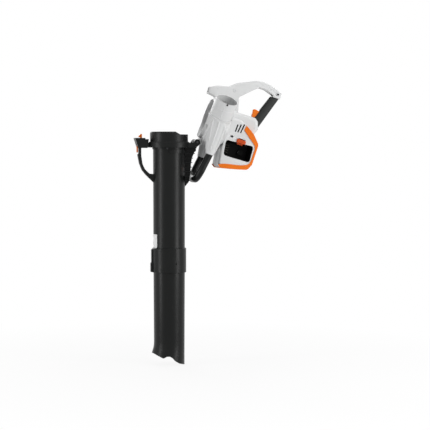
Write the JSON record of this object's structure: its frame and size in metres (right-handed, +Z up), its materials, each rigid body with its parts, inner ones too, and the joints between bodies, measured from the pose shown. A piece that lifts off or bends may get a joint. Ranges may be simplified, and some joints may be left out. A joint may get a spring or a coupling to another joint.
{
  "type": "leaf vacuum shredder",
  "caption": "Handheld leaf vacuum shredder and blower: a power head with fan, knife and grip, hinged open on a long two-piece suction tube.",
  "frame": {"origin": "on the suction tube's axis, 14 mm above the flange face that the power head seats on", "axes": "+Z up along the tube's axis, out of its upper end; +X from the tube towards the open power head; +Y away from the side that the battery goes in from"},
  "size_m": [0.5986, 0.256, 1.1391],
  "materials": {
    "black_plastic": "black moulded plastic",
    "grey_plastic": "pale grey moulded plastic",
    "orange_plastic": "orange moulded plastic",
    "red_plastic": "red-orange moulded plastic",
    "bay_plastic": "black moulded plastic",
    "grip_rubber": "dark grey soft grip",
    "seal_rubber": "black rubber",
    "fan_plastic": "glass-filled plastic",
    "steel": "plain steel",
    "cast_aluminium": "die-cast aluminium",
    "lamination": "steel laminations with windings",
    "contact_brass": "plated contacts"
  },
  "bodies": {
    "suction_tube": {"intake_seal": "seal_rubber", "upper_tube": "black_plastic", "lower_tube": "black_plastic", "tube_flange": "black_plastic", "tube_loop": "black_plastic", "tube_gusset": "black_plastic", "tube_screws": "steel", "latch_pocket": "black_plastic", "latch_pin": "steel", "latch_spring": "steel", "hinge_pin": "steel"},
    "power_head": {"case_lower": "grey_plastic", "case_upper": "grey_plastic", "shoulder_near": "grey_plastic", "shoulder_far": "grey_plastic", "outlet_spout": "grey_plastic", "motor_mount": "cast_aluminium", "motor_cap": "cast_aluminium", "motor_stator": "lamination", "motor_screws": "steel", "lower_bearing": "steel", "upper_bearing": "steel", "body_near": "grey_plastic", "body_far": "grey_plastic", "bumper_trim": "orange_plastic", "battery_bay": "bay_plastic", "terminal_block": "bay_plastic", "battery_terminals": "contact_brass", "lock_spring": "steel", "ejector_spring": "steel", "control_module": "bay_plastic", "arm_near": "grey_plastic", "arm_far": "grey_plastic", "latch_bar": "steel", "eye_bolt": "steel", "eye_nut": "steel", "grip_core": "black_plastic", "grip_sleeve": "grip_rubber", "trigger_pin": "steel", "trigger_spring": "steel", "trigger_switch": "bay_plastic", "front_loop": "black_plastic", "case_screws": "steel", "housing_screws": "steel"},
    "latch": {"latch_lever": "orange_plastic"},
    "rotor": {"rotor_shaft": "steel", "fan_wheel": "fan_plastic", "shredder_knife": "steel", "knife_nut": "steel", "cooling_fan": "fan_plastic"},
    "trigger": {"trigger": "orange_plastic"},
    "ejector": {"battery_ejector": "bay_plastic"},
    "lock": {"battery_lock": "red_plastic"}
  },
  "joints": [
    {"name": "tube_hinge", "type": "hinge", "parent": "suction_tube", "child": "power_head", "pos_m": [0.1075, 0, -0.0128], "axis": [0, -1, 0], "range_deg": [0, 108]},
    {"name": "latch_release", "type": "hinge", "parent": "suction_tube", "child": "latch", "pos_m": [-0.121, 0, -0.0145], "axis": [0, 1, 0], "range_deg": [0, 12], "stiffness_Nm_per_rad": 0.4},
    {"name": "rotor_spin", "type": "hinge", "parent": "power_head", "child": "rotor", "pos_m": [0.15289, 0, 0.08548], "axis": [0.9511, 0, -0.309], "continuous": true},
    {"name": "trigger_pull", "type": "hinge", "parent": "power_head", "child": "trigger", "pos_m": [0.36666, 0, 0.08647], "axis": [0, 1, 0], "range_deg": [0, 10], "stiffness_Nm_per_rad": 0.6},
    {"name": "ejector_slide", "type": "slide", "parent": "power_head", "child": "ejector", "axis": [0, 1, 0], "range_m": [0, 0.012], "stiffness_N_per_m": 300},
    {"name": "battery_lock_slide", "type": "slide", "parent": "power_head", "child": "lock", "axis": [0.309, 0, 0.9511], "range_m": [0, 0.004], "stiffness_N_per_m": 500}
  ]
}
